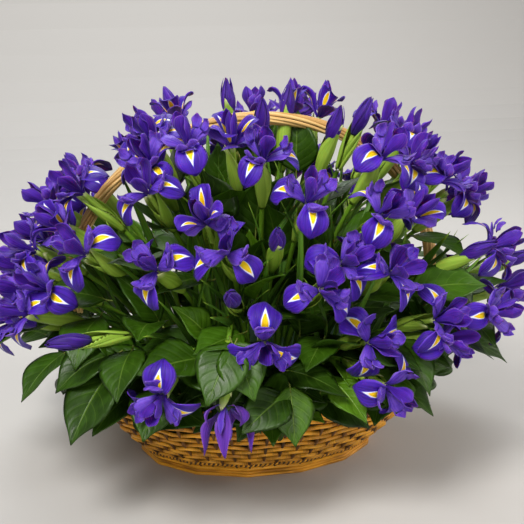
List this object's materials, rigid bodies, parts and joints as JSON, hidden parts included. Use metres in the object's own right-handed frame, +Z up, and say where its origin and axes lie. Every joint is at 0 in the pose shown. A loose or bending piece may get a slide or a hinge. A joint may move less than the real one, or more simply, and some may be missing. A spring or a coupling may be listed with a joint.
{
  "type": "irises in a basket",
  "caption": "Domed arrangement of cut violet irises and broad green leaves standing in foam in a flared oval woven basket with a tall arched handle.",
  "frame": {"origin": "middle of the flat underside of the basket, on the surface it stands on", "axes": "+Z up, X along the long axis of the oval and the span of the handle, -Y towards the front of the arrangement"},
  "size_m": [0.7862, 0.6541, 0.5188],
  "materials": {
    "willow": "honey-brown peeled willow rods, satin, darker in the gaps",
    "handle_rods": "pale golden thin rods laid side by side, satin",
    "film": "dark film, glossy",
    "floral_foam": "wet fine-celled green foam, matte",
    "iris": "violet-blue petals with a yellow and white signal on each fall, fresh green stem and sheath, soft sheen",
    "salal_leaf": "leathery mid-green leaf, semi-gloss, paler underside"
  },
  "bodies": {
    "root": {"basket_base": "willow", "foot_border": "willow", "side_weave": "willow", "rim_border": "willow", "handle": "handle_rods", "film_liner": "film", "iris_open_01": "iris", "iris_open_02": "iris", "iris_open_03": "iris", "iris_open_04": "iris", "iris_open_05": "iris", "iris_open_06": "iris", "iris_open_07": "iris", "iris_open_08": "iris", "iris_open_09": "iris", "iris_open_10": "iris", "iris_open_11": "iris", "iris_open_12": "iris", "iris_bud_01": "iris", "iris_open_13": "iris", "iris_open_14": "iris", "iris_open_15": "iris", "iris_open_16": "iris", "iris_open_17": "iris", "iris_bud_02": "iris", "iris_open_18": "iris", "iris_open_19": "iris", "iris_open_20": "iris", "iris_open_21": "iris", "iris_open_22": "iris", "iris_spent_01": "iris", "iris_open_23": "iris", "iris_bud_03": "iris", "iris_bud_04": "iris", "iris_open_24": "iris", "iris_open_25": "iris", "iris_open_26": "iris", "iris_half_01": "iris", "iris_open_27": "iris", "iris_half_02": "iris", "iris_open_28": "iris", "iris_open_29": "iris", "iris_open_30": "iris", "iris_open_31": "iris", "iris_open_32": "iris", "iris_open_33": "iris", "iris_bud_05": "iris", "iris_open_34": "iris", "iris_open_35": "iris", "salal_sprig_1": "salal_leaf", "salal_sprig_2": "salal_leaf", "salal_sprig_3": "salal_leaf", "salal_sprig_4": "salal_leaf", "salal_sprig_5": "salal_leaf", "salal_sprig_6": "salal_leaf", "salal_sprig_7": "salal_leaf", "salal_sprig_8": "salal_leaf", "foam_left": "floral_foam", "foam_middle": "floral_foam", "foam_right": "floral_foam"}
  },
  "joints": []
}
